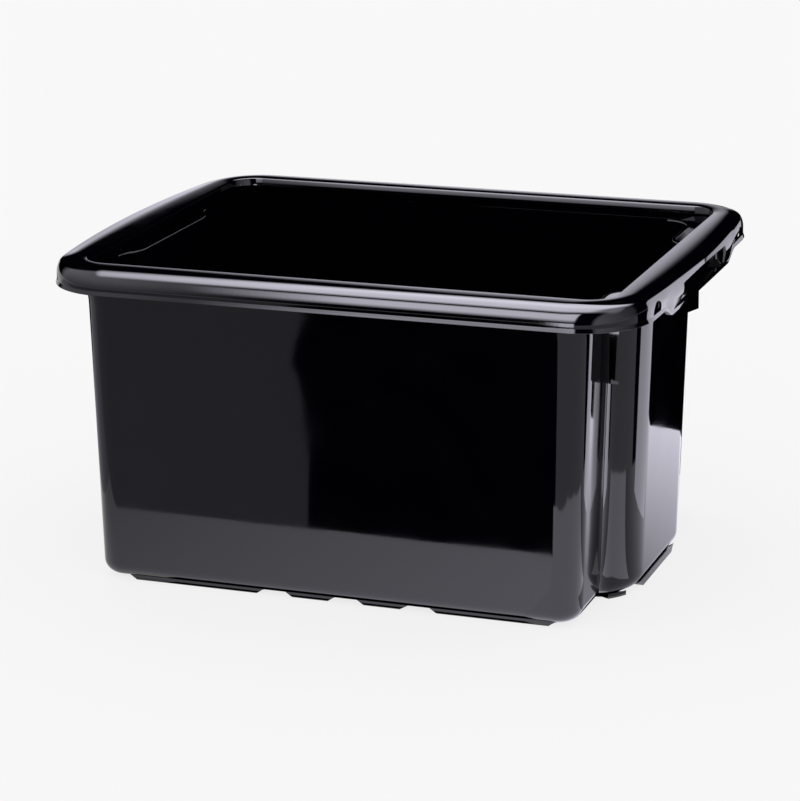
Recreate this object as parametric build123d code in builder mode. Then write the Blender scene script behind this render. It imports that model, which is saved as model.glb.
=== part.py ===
"""Open stacking storage box, moulded in glossy black plastic, in millimetres.

X runs along the length, the front wall faces -Y, +Z is up, and the origin is on the floor under the
middle of the box. The right end (+X) has set-back corners and a bulged middle; the left end (-X) has
full corners and a set-back middle, so a box turned half round stands on the ledges of the one below.
"""
import os
from math import acos, atan2, degrees, radians, sin, sqrt, tan

from build123d import *

# Overall sizes; the length is measured at the corners, before the bow of the two ends
rim_length = 500.0
rim_width = 390.0
box_height = 270.0

# Moulding thicknesses and draft
wall = 2.5
floor_thickness = 2.5
draft_angle = 1.0

# Rim: a hollow band that hangs outside the walls, bowed outwards at the two ends
rim_corner_radius = 58.0
skirt_depth = 20.0
skirt_flare = 0.4
shoulder_height = 9.0
rim_outer_round = 8.5
rim_inner_round = 4.0
end_bow = 8.0
end_bow_at_skirt = 0.5
lip_height = 4.5
lip_proud = 1.0
lip_round = 0.5

# Tub outline just below the rim
end_overhang = 25.5
side_overhang = 26.5
tub_corner_radius = 25.0
ledge_drop = 13.0

# Right end: set-back corners, a hollow, and the bulged middle panel
right_corner_setback = 22.5
right_corner_flat = 42.0
bulge_shoulder_radius = 55.0
hollow_radius = 16.0

# Left end: set-back middle between full corners
left_middle_setback = 11.0
left_corner_flat = 53.5
left_sweep_radius = 26.0

# Bottom of the tub and its foot pads
pan_height = 18.0
bottom_round = 12.0
foot_height = 2.5
foot_inset = 6.0
foot_width = 9.0
foot_gap = 19.0
foot_gap_pitch = 62.0
foot_corner_gap = 34.0
end_foot_margin = 11.0
bulge_foot_inset = 3.5
shoulder_foot_gap = 20.0
shoulder_foot_length = 14.0

# Handles: a deeper skirt with a scooped grip in the middle of each end
grip_drop = 7.8
grip_corner_gap = 26.0
grip_slope = 32.0
lip_bed = 1.8
scoop_radius = 5.5
scoop_centre_out = 4.0
scoop_centre_drop = 18.5
scoop_sweep_radius = 464.0

# Arched windows in the skirt beside the handles
window_radius = 9.5
window_corner_gap = 8.0

# Stops under the right rim that keep nested boxes from jamming
stop_outset = 20.5
stop_reach = 15.0
stop_bed = 4.0
stop_depth = 24.0
stop_lean = 7.5
stop_drop = 78.0
stop_chamfer = 2.0

# Places worked out from the sizes above
skirt_bottom = box_height - skirt_depth
shoulder_level = box_height - shoulder_height
ledge_top = box_height - ledge_drop
ledge_bottom = ledge_top - wall
pan_top = foot_height + pan_height
tub_length = rim_length - 2 * end_overhang
tub_width = rim_width - 2 * side_overhang
tub_half_length = tub_length / 2
tub_half_width = tub_width / 2
corner_y = tub_half_width - tub_corner_radius
right_corner_x = tub_half_length - right_corner_setback
left_middle_x = tub_half_length - left_middle_setback
skirt_x = rim_length / 2 - lip_proud
rim_corner_x = rim_length / 2 - rim_corner_radius
rim_corner_y = rim_width / 2 - rim_corner_radius
shoulder_x = tub_half_length - bulge_shoulder_radius
shoulder_gap = right_corner_x + hollow_radius - shoulder_x
hollow_rise = sqrt((bulge_shoulder_radius + hollow_radius) ** 2 - shoulder_gap ** 2)
hollow_y = corner_y - right_corner_flat
bulge_flat_half = hollow_y - hollow_rise
hollow_turn = degrees(atan2(hollow_rise, shoulder_gap))
sweep_turn = degrees(acos(1 - left_middle_setback / (2 * left_sweep_radius)))
left_corner_y = corner_y - left_corner_flat
left_flat_half = left_corner_y - 2 * left_sweep_radius * sin(radians(sweep_turn))
left_seam_y = (left_flat_half + left_corner_y) / 2
grip_half = rim_corner_y - grip_corner_gap
grip_flat_half = grip_half - grip_slope
stop_bottom = box_height - stop_drop
stop_face_y = hollow_y + stop_outset
far = rim_length


def draft_at(height):
    """How far the drafted walls have drawn in at a height, against the outline under the rim."""
    return (ledge_top - height) * tan(radians(draft_angle))


def tub_outline(height, inset=0.0):
    """The plan of the tub at a height, drawn in by the draft and by a further inset."""
    step = draft_at(height) + inset
    left = step - tub_half_length
    front = step - tub_half_width
    left_mid = step - left_middle_x
    right_mid = tub_half_length - step
    right_corner = right_corner_x - step
    left_centre = tub_corner_radius - tub_half_length
    right_centre = right_corner_x - tub_corner_radius
    with BuildSketch(Plane.XY.offset(height)) as plan:
        with BuildLine():
            Line((left_mid, 0), (left_mid, -left_flat_half))
            CenterArc((-left_middle_x - left_sweep_radius, -left_flat_half),
                      left_sweep_radius + step, 0, -sweep_turn)
            CenterArc((left_sweep_radius - tub_half_length, -left_corner_y),
                      left_sweep_radius - step, 180 - sweep_turn, sweep_turn)
            Line((left, -left_corner_y), (left, -corner_y))
            CenterArc((left_centre, -corner_y), tub_corner_radius - step, 180, 90)
            Line((left_centre, front), (right_centre, front))
            CenterArc((right_centre, -corner_y), tub_corner_radius - step, 270, 90)
            Line((right_corner, -corner_y), (right_corner, -hollow_y))
            CenterArc((right_corner_x + hollow_radius, -hollow_y), hollow_radius + step, 180, -hollow_turn)
            CenterArc((shoulder_x, -bulge_flat_half), bulge_shoulder_radius - step, -hollow_turn, hollow_turn)
            Line((right_mid, -bulge_flat_half), (right_mid, 0))
            mirror(about=Plane.XZ)
        make_face()
    return plan.sketch


def rim_outline(height, bow, inset=0.0):
    """The plan of the rim's outside at a height, with its two ends bowed outwards."""
    bow_back = (rim_corner_y ** 2 - bow ** 2) / (2 * bow)
    bow_turn = degrees(atan2(rim_corner_y, bow_back))
    bow_radius = sqrt(rim_corner_y ** 2 + bow_back ** 2) + rim_corner_radius - inset
    side_y = inset - rim_width / 2
    with BuildSketch(Plane.XY.offset(height)) as plan:
        with BuildLine():
            Line((0, side_y), (rim_corner_x, side_y))
            CenterArc((rim_corner_x, -rim_corner_y), rim_corner_radius - inset, 270, 90 - bow_turn)
            CenterArc((rim_corner_x - bow_back, 0), bow_radius, -bow_turn, 2 * bow_turn)
            CenterArc((rim_corner_x, rim_corner_y), rim_corner_radius - inset, bow_turn, 90 - bow_turn)
            Line((rim_corner_x, -side_y), (0, -side_y))
            mirror(about=Plane.YZ)
        make_face()
    return plan.sketch


def rounded_plate(height, length, width, radius):
    """A rectangle with round corners at a height."""
    with BuildSketch(Plane.XY.offset(height)) as plate:
        RectangleRounded(length, width, radius)
    return plate.sketch


def drafted_block(bottom, top, inset=0.0):
    """A solid that fills the tub's outline between two heights."""
    with BuildPart() as block:
        loft(sections=[tub_outline(bottom, inset), tub_outline(top, inset)], ruled=True)
    return block.part


def rim_block(inset, top):
    """A solid that fills the rim's outline: flaring skirt, bowed shoulder and rounded top edge."""
    skirt_inset = lip_proud + inset
    with BuildPart() as block:
        loft(sections=[rim_outline(skirt_bottom, end_bow_at_skirt, skirt_inset),
                       rim_outline(shoulder_level, end_bow, skirt_inset - skirt_flare)], ruled=True)
        extrude(rim_outline(shoulder_level, end_bow, skirt_inset - skirt_flare), top - shoulder_level)
        fillet(block.faces().sort_by(Axis.Z)[-1].edges(), rim_outer_round - inset)
    return block.part


def piece_of(bodies, x_range, y_range):
    """The share of some joined bodies that lies between two X limits and two Y limits."""
    (x_low, x_high), (y_low, y_high) = x_range, y_range
    with BuildPart() as piece:
        for body in bodies:
            add(body)
        with Locations(((x_low + x_high) / 2, (y_low + y_high) / 2, box_height / 2)):
            Box(x_high - x_low, y_high - y_low, 2 * box_height, mode=Mode.INTERSECT)
    return piece.part


def keep(name, shape):
    """Label a finished piece and write its file."""
    shape.label = name
    export_step(shape, f"parts/{name}.step")


def keep_pair(name, shape):
    """Keep a piece of the front half and its twin, mirrored to the rear half."""
    keep(f"front_{name}", shape)
    with BuildPart() as twin:
        mirror(shape, about=Plane.XZ)
    keep(f"rear_{name}", twin.part)


os.makedirs("parts", exist_ok=True)

# Walls of the tub between the bottom pan and the ledges
with BuildPart() as walls:
    add(drafted_block(pan_top, ledge_bottom))
    add(drafted_block(pan_top, ledge_bottom, wall), mode=Mode.SUBTRACT)

# Ring at ledge level: as wide as the wall where the tub is full, and a ledge where it is set back
with BuildPart() as ledge_ring:
    extrude(rounded_plate(ledge_bottom, tub_length, tub_width, tub_corner_radius), wall)
    extrude(tub_outline(ledge_bottom, wall), wall, mode=Mode.SUBTRACT)

whole_walls = (walls.part, ledge_ring.part)
keep_pair("wall", piece_of(whole_walls, (-rim_corner_x, shoulder_x), (-far, 0)))
keep_pair("left_corner", piece_of(whole_walls, (-far, -rim_corner_x), (-far, -left_seam_y)))
keep_pair("right_corner", piece_of((walls.part,), (shoulder_x, far), (-far, -hollow_y)))
keep("left_end_panel", piece_of((walls.part,), (-far, 0), (-left_seam_y, left_seam_y)))
keep("right_end_panel", piece_of(whole_walls, (0, far), (-hollow_y, hollow_y)))
keep_pair("right_ledge", piece_of((ledge_ring.part,), (shoulder_x, far), (-far, -hollow_y)))
keep("left_ledge", piece_of((ledge_ring.part,), (-far, 0), (-left_seam_y, left_seam_y)))

# Bottom pan: the floor with the rounded bottom edge
with BuildPart() as pan_outside:
    add(drafted_block(foot_height, pan_top))
    fillet(pan_outside.faces().sort_by(Axis.Z)[0].edges(), bottom_round)

with BuildPart() as pan_inside:
    add(drafted_block(foot_height + floor_thickness, pan_top, wall))
    fillet(pan_inside.faces().sort_by(Axis.Z)[0].edges(), bottom_round - wall)

with BuildPart() as base_panel:
    add(pan_outside.part)
    add(pan_inside.part, mode=Mode.SUBTRACT)
keep("base_panel", base_panel.part)


def foot_ring(inset):
    """A low ring under the pan, at an inset from the tub's outline on the floor."""
    with BuildPart() as ring:
        extrude(tub_outline(0, inset), pan_top)
        extrude(tub_outline(0, inset + foot_width), pan_top, mode=Mode.SUBTRACT)
        add(pan_outside.part, mode=Mode.SUBTRACT)
        with Locations((0, 0, pan_top)):
            Box(far, far, pan_height, mode=Mode.SUBTRACT)
    return ring.part


# Foot pads: lengths of low rings under the pan
long_ring = foot_ring(foot_inset)
bulge_ring = foot_ring(bulge_foot_inset)

with BuildPart() as front_feet:
    add(piece_of((long_ring,), (foot_corner_gap - tub_half_length, right_corner_x - tub_corner_radius),
                 (-far, -corner_y)))
    with GridLocations(foot_gap_pitch, 1, 3, 1):
        Box(foot_gap, far, pan_height, mode=Mode.SUBTRACT)
keep_pair("feet", front_feet.part)

left_foot_half = left_flat_half - end_foot_margin
shoulder_foot_y = bulge_flat_half + shoulder_foot_gap
shoulder_foot = piece_of((long_ring,), (0, far), (-shoulder_foot_y - shoulder_foot_length, -shoulder_foot_y))
with BuildPart() as right_feet:
    add(piece_of((bulge_ring,), (0, far), (-bulge_flat_half, bulge_flat_half)))
    add(shoulder_foot)
    mirror(shoulder_foot, about=Plane.XZ)
keep("right_feet", right_feet.part)
keep("left_feet", piece_of((long_ring,), (-far, 0), (-left_foot_half, left_foot_half)))

# Rim without its lip: skirt, shoulder, crowned top and the band that stands on the walls
with BuildPart() as rim:
    add(rim_block(0, box_height))
    add(rim_block(wall, box_height - wall), mode=Mode.SUBTRACT)
    extrude(rounded_plate(ledge_top, tub_length, tub_width, tub_corner_radius), ledge_drop - wall)
    extrude(rounded_plate(ledge_top, tub_length - 2 * wall, tub_width - 2 * wall, tub_corner_radius - wall),
            ledge_drop, mode=Mode.SUBTRACT)
    fillet(rim.faces().sort_by(Axis.Z)[-1].inner_wires()[0].edges(), rim_inner_round)

# Lip round the lower edge of the skirt
with BuildPart() as lip:
    extrude(rounded_plate(skirt_bottom, rim_length, rim_width, rim_corner_radius), lip_height)
    fillet(lip.edges().group_by(Axis.Z)[0] + lip.edges().group_by(Axis.Z)[-1], lip_round)
    extrude(rounded_plate(skirt_bottom, 2 * (skirt_x - lip_bed), rim_width - 2 * (lip_proud + lip_bed),
                          rim_corner_radius - lip_proud - lip_bed), lip_height, mode=Mode.SUBTRACT)

rim_with_lip = (rim.part, lip.part)
keep_pair("rim", piece_of(rim_with_lip, (-rim_corner_x, rim_corner_x), (-far, 0)))

# Rim corners, with an arched window in the skirt just above the lip
with BuildPart() as corner_rim:
    add(piece_of(rim_with_lip, (rim_corner_x, far), (-far, -grip_half)))
    with BuildSketch(Plane.YZ.offset(rim_corner_x + rim_corner_radius / 2)) as window:
        with Locations((window_corner_gap - rim_corner_y, skirt_bottom + lip_height)):
            Circle(window_radius)
            Rectangle(2 * window_radius, window_radius, align=(Align.CENTER, Align.MAX), mode=Mode.SUBTRACT)
    extrude(amount=far, mode=Mode.SUBTRACT)
keep_pair("right_rim", corner_rim.part)
with BuildPart() as left_corner_rim:
    mirror(corner_rim.part, about=Plane.YZ)
keep_pair("left_rim", left_corner_rim.part)

# Outline of the deeper skirt below a handle, and of the lip along its lower edge
grip_bottom = skirt_bottom - grip_drop
lower_edge = [(-grip_half, skirt_bottom), (-grip_flat_half, grip_bottom),
              (grip_flat_half, grip_bottom), (grip_half, skirt_bottom)]
lip_edge = [(y, z + lip_height) for y, z in reversed(lower_edge)]
with BuildSketch(Plane.YZ.offset(skirt_x)) as grip_face:
    with BuildLine():
        Polyline(*lower_edge, close=True)
    make_face()

with BuildPart() as grip_lip:
    with BuildSketch(Plane.YZ.offset(skirt_x - lip_bed)):
        with BuildLine():
            Polyline(*lower_edge, *lip_edge, close=True)
        make_face()
    extrude(amount=lip_bed + lip_proud)

# Scooped grip: a thin curved wall round a hollow that runs along the handle
scoop_x = skirt_x + scoop_centre_out
scoop_middle = (scoop_x + scoop_sweep_radius, 0, box_height - scoop_centre_drop)
with BuildPart() as scoop_wall:
    add(piece_of((rim_block(0, box_height),), (rim_corner_x, far), (-grip_half, grip_half)))
    extrude(grip_face.sketch, -rim_corner_radius / 2)
    with Locations(scoop_middle):
        Torus(scoop_sweep_radius, scoop_radius + wall, mode=Mode.INTERSECT)

with BuildPart() as right_handle:
    extrude(grip_face.sketch, -wall)
    add(grip_lip.part)
    add(piece_of((rim.part,), (rim_corner_x, far), (-grip_half, grip_half)))
    add(scoop_wall.part)
    with Locations(scoop_middle):
        Torus(scoop_sweep_radius, scoop_radius, mode=Mode.SUBTRACT)
keep("right_handle", right_handle.part)
with BuildPart() as left_handle:
    mirror(right_handle.part, about=Plane.YZ)
keep("left_handle", left_handle.part)

# Nest stops: blocks that hang on the set-back corners, beside the hollows of the right end
stop_left = right_corner_x - stop_bed
stop_right = right_corner_x + stop_reach
with BuildPart() as nest_stop:
    with BuildSketch(Plane.XY.offset(stop_bottom)):
        with BuildLine():
            Polyline((stop_left, -stop_face_y), (stop_right, -stop_face_y),
                     (stop_right - stop_lean, stop_depth - stop_face_y),
                     (stop_left, stop_depth - stop_face_y), close=True)
        make_face()
    extrude(amount=ledge_bottom - stop_bottom)
    chamfer(nest_stop.faces().sort_by(Axis.Y)[0].edges().sort_by(Axis.Z)[0], stop_chamfer)
    add(drafted_block(foot_height, ledge_bottom), mode=Mode.SUBTRACT)
keep_pair("nest_stop", nest_stop.part)
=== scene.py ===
"""Glossy black storage box for stacking and nesting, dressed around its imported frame.

The box is one moulding: a tub with waisted ends, a wide rolled rim with a hand
grip at each end, ledges that carry the next box, nest stops and foot pads.
Shapes and sheets are sized in mm; finishes, floor and camera in metres.
"""

import logging
from dataclasses import dataclass, field
from enum import Enum
from math import atan2, cos, degrees, radians, sin, sqrt, tan
from typing import Any, Iterable, Sequence

import bmesh
import bpy
from bmesh.types import BMEdge, BMesh, BMVert
from mathutils import Matrix, Vector


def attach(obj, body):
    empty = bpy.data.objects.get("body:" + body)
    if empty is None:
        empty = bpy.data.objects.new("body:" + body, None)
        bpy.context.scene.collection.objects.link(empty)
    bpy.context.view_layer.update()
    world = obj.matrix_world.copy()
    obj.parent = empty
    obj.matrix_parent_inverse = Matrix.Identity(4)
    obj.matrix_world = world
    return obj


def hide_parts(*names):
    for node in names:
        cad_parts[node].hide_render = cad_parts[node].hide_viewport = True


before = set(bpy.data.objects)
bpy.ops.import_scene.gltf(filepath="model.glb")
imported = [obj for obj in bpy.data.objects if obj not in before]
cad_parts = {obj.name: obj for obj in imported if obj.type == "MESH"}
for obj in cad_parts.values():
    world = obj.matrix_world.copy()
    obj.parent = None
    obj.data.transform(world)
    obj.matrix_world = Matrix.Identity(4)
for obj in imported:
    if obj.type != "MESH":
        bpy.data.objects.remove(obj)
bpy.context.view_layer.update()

LOG = logging.getLogger("storage_box")
MM = 0.001
QUARTER = 90.0
UP = Vector((0.0, 0.0, 1.0))
STUDIO_TINT = (0.99, 0.965, 1.11, 1.0)
Colour = tuple[float, float, float, float]
Span = tuple[float, float]
Ring = list[Vector]


class Sock:
    """A node's output socket, so that shader maths reads as a Python expression."""

    def __init__(self, bench: "NodeBench", socket: bpy.types.NodeSocket) -> None:
        """Hold a socket and the bench that adds nodes for it."""
        self.bench = bench
        self.socket = socket

    def _math(self, operation: str, first: Any, second: Any, clamp: bool = False) -> "Sock":
        """Add a Math node for two values and return its result."""
        settings = {"operation": operation, "use_clamp": clamp}
        return self.bench.out(self.bench.node("ShaderNodeMath", settings, {0: first, 1: second}))

    def __add__(self, other: Any) -> "Sock":
        """Sum."""
        return self._math("ADD", self, other)

    __radd__ = __add__

    def __sub__(self, other: Any) -> "Sock":
        """Difference."""
        return self._math("SUBTRACT", self, other)

    def __rsub__(self, other: Any) -> "Sock":
        """Difference, reflected."""
        return self._math("SUBTRACT", other, self)

    def __mul__(self, other: Any) -> "Sock":
        """Product."""
        return self._math("MULTIPLY", self, other)

    __rmul__ = __mul__

    def __truediv__(self, other: Any) -> "Sock":
        """Quotient."""
        return self._math("DIVIDE", self, other)

    def larger(self, other: Any) -> "Sock":
        """The larger of two values."""
        return self._math("MAXIMUM", self, other)

    def ramp(self, low: float, high: float) -> "Sock":
        """Zero at low and below, rising to one at high and above."""
        return self._math("MULTIPLY", self - low, 1.0 / (high - low), clamp=True)


class NodeBench:
    """Adds nodes to one node tree."""

    def __init__(self, tree: bpy.types.NodeTree) -> None:
        """Start from an empty tree."""
        self.tree = tree
        tree.nodes.clear()

    def node(
        self, kind: str, settings: dict[str, Any] | None = None,
        sockets: dict[Any, Any] | None = None,
    ) -> bpy.types.Node:
        """Add one node, its settings first and then its sockets.

        Args:
            kind: The node's type name.
            settings: Properties of the node by name.
            sockets: A value, or a Sock to link, for each input by name or number.

        Returns:
            The new node.
        """
        made = self.tree.nodes.new(kind)
        for name, value in (settings or {}).items():
            setattr(made, name, value)
        for key, value in (sockets or {}).items():
            if isinstance(value, Sock):
                self.tree.links.new(value.socket, made.inputs[key])
            else:
                made.inputs[key].default_value = value
        return made

    def out(self, made: bpy.types.Node, name: Any = 0) -> Sock:
        """One output of a node."""
        return Sock(self, made.outputs[name])

    def place(self, kind: str = "Object") -> Sock:
        """Coordinates of the point that is shaded."""
        return self.out(self.node("ShaderNodeTexCoord"), kind)

    def mix(self, share: Sock, first: Any, second: Any) -> Sock:
        """Two colours, mixed by the share of the second."""
        sockets = {0: share, 6: first, 7: second}
        return self.out(self.node("ShaderNodeMix", {"data_type": "RGBA"}, sockets), 2)

    def blend(self, share: Sock, first: bpy.types.Node, second: bpy.types.Node) -> bpy.types.Node:
        """Two shaders, mixed by the share of the second."""
        sockets = {0: share, 1: self.out(first), 2: self.out(second)}
        return self.node("ShaderNodeMixShader", None, sockets)

    def tinted(self, level: Sock) -> Sock:
        """The studio's tint at a level that changes."""
        sockets = {0: STUDIO_TINT[:3], "Scale": level}
        return self.out(self.node("ShaderNodeVectorMath", {"operation": "SCALE"}, sockets))

    def show(self, shader: bpy.types.Node, output: str = "ShaderNodeOutputMaterial") -> None:
        """Lead a shader to the tree's output."""
        self.node(output, None, {"Surface": self.out(shader)})


def new_finish(name: str) -> tuple[bpy.types.Material, NodeBench]:
    """Make a material without nodes.

    Args:
        name: The material's name.

    Returns:
        The material and the bench for its nodes.
    """
    made = bpy.data.materials.new(name)
    made.use_nodes = True
    return made, NodeBench(made.node_tree)


@dataclass(frozen=True)
class Mottle:
    """A noise pattern: its scale per metre, its detail and the span of it that shows."""

    scale: float
    detail: float
    span: Span | None = None

    def on(self, bench: NodeBench, place: Sock) -> Sock:
        """The pattern at a place, from zero to one.

        Args:
            bench: The material's nodes.
            place: Where on the piece.

        Returns:
            The pattern's value.
        """
        sockets = {"Vector": place, "Scale": self.scale, "Detail": self.detail}
        noise = bench.node("ShaderNodeTexNoise", {"noise_dimensions": "3D"}, sockets)
        value = bench.out(noise, "Fac")
        return value.ramp(*self.span) if self.span else value


@dataclass(frozen=True)
class GlossPlastic:
    """Polished black moulded plastic: slow waves in the skin, faint handling haze and dust.

    Where a band's top height is set, the band of heights below it is painted a lighter grey and
    made hazier: a painted highlight line.
    """

    name: str = "gloss_black_plastic"
    pigment: Colour = (0.0004, 0.00025, 0.0011, 1.0)
    bloom: Colour = (0.0012, 0.001, 0.002, 1.0)
    refraction: float = 1.5
    polish: float = 0.045
    smears: Mottle = Mottle(26.0, 4.0, (0.42, 0.72))
    smear_haze: float = 0.035
    smear_bloom: float = 0.6
    specks: Mottle = Mottle(1400.0, 1.0, (0.74, 0.80))
    speck_haze: float = 0.1
    speck_bloom: float = 0.4
    waves: Mottle = Mottle(7.0, 1.5)
    wave_height: float = 0.0008
    wave_fade: Span = (0.236, 0.252)
    grain: Mottle = Mottle(420.0, 3.0)
    grain_height: float = 0.000004
    # Painted highlight: the grey, and the band of heights with its rise, fall and patches, that
    # stand in for a lit line on the shelves' inner edges; the band is also hazier.
    painted_highlight: Colour = (0.17, 0.165, 0.18, 1.0)
    highlight_low: float = 0.0
    highlight_high: float = 0.0
    highlight_rise: float = 0.0004
    highlight_fall: float = 0.0003
    highlight_patches: float = 0.3
    highlight_haze: float = 0.35

    def material(self) -> bpy.types.Material:
        """Build the plastic's material.

        Returns:
            The material, on Object coordinates.
        """
        made, bench = new_finish(self.name)
        place = bench.place()
        level = bench.out(bench.node("ShaderNodeSeparateXYZ", None, {0: place}), "Z")
        smears, specks = self.smears.on(bench, place), self.specks.on(bench, place)
        bloomed = smears * self.smear_bloom + specks * self.speck_bloom
        colour = bench.mix(bloomed, self.pigment, self.bloom)
        rough = smears * self.smear_haze + specks * self.speck_haze + self.polish
        # Painted highlight: a band of heights painted lighter grey, patchy with the smears, and
        # made hazier.
        if self.highlight_high:
            highlight_band = level.ramp(self.highlight_low, self.highlight_low + self.highlight_rise)
            highlight_band = highlight_band * (1 - level.ramp(self.highlight_high - self.highlight_fall, self.highlight_high))
            highlight_band = highlight_band * (1 - self.highlight_patches + self.highlight_patches * smears)
            colour = bench.mix(highlight_band, colour, self.painted_highlight)
            rough = rough + highlight_band * self.highlight_haze
        walls = 1 - level.ramp(*self.wave_fade)
        height = self.waves.on(bench, place) * walls * self.wave_height
        height = height + self.grain.on(bench, place) * self.grain_height
        relief = {"Height": height, "Distance": 1.0, "Strength": 1.0}
        skin = {
            "Base Color": colour, "Roughness": rough, "IOR": self.refraction,
            "Normal": bench.out(bench.node("ShaderNodeBump", None, relief)),
        }
        bench.show(bench.node("ShaderNodeBsdfPrincipled", None, skin))
        return made


class Bend(Enum):
    """Which way an arc of the outline turns."""

    OUT = 1
    IN = -1


class Mirror(Enum):
    """Which coordinate a mirror turns over."""

    ENDS = 0
    SIDES = 1


@dataclass
class PlanCurve:
    """A plan outline, with the outward direction at each point."""

    points: Ring
    outward: Ring

    def at(self, inset: float) -> Ring:
        """The outline moved inwards by an inset."""
        return [p - n * inset for p, n in zip(self.points, self.outward)]

    def mirrored(self, mirror: Mirror) -> "PlanCurve":
        """Join this open curve to its mirror image, the shared point at the turn kept once.

        Args:
            mirror: What the image turns over.

        Returns:
            The joined curve.
        """
        back = [self._flip(v, mirror) for v in reversed(self.points[:-1])]
        turned = [self._flip(v, mirror) for v in reversed(self.outward[:-1])]
        return PlanCurve(self.points + back, self.outward + turned)

    def closed(self) -> "PlanCurve":
        """The curve without its last point, which repeats the first."""
        return PlanCurve(self.points[:-1], self.outward[:-1])

    def whole(self) -> "PlanCurve":
        """The closed outline, from the quarter between the middles of front and right end."""
        return self.mirrored(Mirror.SIDES).mirrored(Mirror.ENDS).closed()

    @staticmethod
    def _flip(vector: Vector, mirror: Mirror) -> Vector:
        """A vector with one coordinate turned over."""
        return Vector([-v if axis == mirror.value else v for axis, v in enumerate(vector)])


class OutlinePen:
    """Draws an outline point by point with extrude, translate and rotate."""

    def __init__(self, x: float, y: float, outward: Span | None = None) -> None:
        """Put the pen down.

        Args:
            x: Where the outline starts.
            y: Where the outline starts.
            outward: The outward direction there, needed where an arc comes first.
        """
        self.mesh = bmesh.new()
        self.line = list(bmesh.ops.create_vert(self.mesh, co=(x, y, 0.0))["vert"])
        self.outward: Ring = [Vector((*outward, 0.0))] if outward else []

    def _grow(self) -> BMVert:
        """Extrude the pen's last point."""
        self.line.append(bmesh.ops.extrude_vert_indiv(self.mesh, verts=[self.line[-1]])["verts"][0])
        return self.line[-1]

    def run(self, x: float, y: float, steps: int, ease: float = 1.5) -> "OutlinePen":
        """Draw a straight run.

        Args:
            x: Where the run ends.
            y: Where the run ends.
            steps: How many equal steps it has.
            ease: Length of the short step that is added at each end, or zero.

        Returns:
            The pen.
        """
        whole = Vector((x, y, 0.0)) - self.line[-1].co
        way = whole.normalized()
        side = Vector((way.y, -way.x, 0.0))
        self.outward = self.outward or [side]
        stops = [whole.length * share for share in shares(steps)]
        if ease:
            stops = [ease] + stops[:-1] + [whole.length - ease, whole.length]
        done = 0.0
        for stop in stops:
            bmesh.ops.translate(self.mesh, vec=way * (stop - done), verts=[self._grow()])
            self.outward.append(side)
            done = stop
        return self

    def arc(self, x: float, y: float, turn: float, steps: int) -> "OutlinePen":
        """Draw an arc about a centre.

        Args:
            x: The centre.
            y: The centre.
            turn: Degrees, positive where the outline bends outwards.
            steps: How many steps it has.

        Returns:
            The pen.
        """
        centre = Vector((x, y, 0.0))
        bend = Bend.OUT if turn > 0 else Bend.IN
        step = Matrix.Rotation(radians(turn) / steps, 3, "Z")
        for _ in range(steps):
            made = self._grow()
            bmesh.ops.rotate(self.mesh, cent=centre, matrix=step, verts=[made])
            self.outward.append((made.co - centre).normalized() * bend.value)
        return self

    def curve(self) -> PlanCurve:
        """Lift the pen.

        Returns:
            What it drew.
        """
        drawn = PlanCurve([v.co.copy() for v in self.line], list(self.outward))
        self.mesh.free()
        return drawn


def smooth_share(value: float, start: float, end: float) -> float:
    """Zero up to start and one from end on, eased at both."""
    share = min(1.0, max(0.0, (value - start) / (end - start)))
    return share * share * (3 - 2 * share)


def shares(steps: int) -> list[float]:
    """The shares of a way at the end of each of its equal steps."""
    return [k / steps for k in range(1, steps + 1)]


def picked(items: Iterable[Any], kind: type) -> list[Any]:
    """The items of one kind."""
    return [item for item in items if isinstance(item, kind)]


def closed_loop(mesh: BMesh, corners: Sequence[Vector]) -> tuple[list[BMVert], list[BMEdge]]:
    """Join corners to a closed loop, in order.

    Args:
        mesh: The bmesh to add it to.
        corners: The loop's corners.

    Returns:
        The loop's vertices and edges.
    """
    verts = [bmesh.ops.create_vert(mesh, co=corner)["vert"][0] for corner in corners]
    pairs = [list(pair) for pair in zip(verts, verts[1:] + verts[:1])]
    return verts, [bmesh.ops.contextual_create(mesh, geom=pair)["edges"][0] for pair in pairs]


def plan_face(mesh: BMesh, corners: Sequence[Vector]) -> list[BMVert]:
    """Fill a closed outline with one face.

    Args:
        mesh: The bmesh to add it to.
        corners: The outline's corners, in order.

    Returns:
        The corners' vertices.
    """
    verts, edges = closed_loop(mesh, corners)
    bmesh.ops.edgeloop_fill(mesh, edges=edges)
    return verts


def swept(rings: Sequence[Ring], weld: float = 0.0) -> BMesh:
    """Grow a skin ring by ring: each step extrudes the last ring's edges and moves them.

    Args:
        rings: The rings, with equally many points.
        weld: Distance within which the last ring is welded to the first, or zero to cap both.

    Returns:
        The skin's bmesh.
    """
    mesh = bmesh.new()
    place = mesh.verts.layers.int.new("place")
    verts, first = closed_loop(mesh, rings[0])
    for number, vert in enumerate(verts):
        vert[place] = number
    edges = first
    for ring in rings[1:]:
        made = bmesh.ops.extrude_edge_only(mesh, edges=edges)["geom"]
        for vert in picked(made, BMVert):
            vert.co = ring[vert[place]]
        edges = [edge for edge in picked(made, BMEdge) if edge.is_boundary]
    if weld:
        bmesh.ops.remove_doubles(mesh, verts=mesh.verts[:], dist=weld)
    else:
        for loop in (first, edges):
            bmesh.ops.edgeloop_fill(mesh, edges=loop)
    return mesh


def raise_faces(mesh: BMesh, height: float) -> None:
    """Make a block of a bmesh's faces, straight up or down by a height."""
    made = bmesh.ops.extrude_face_region(mesh, geom=mesh.faces[:], use_keep_orig=True)["geom"]
    bmesh.ops.translate(mesh, vec=UP * height, verts=picked(made, BMVert))


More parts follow.
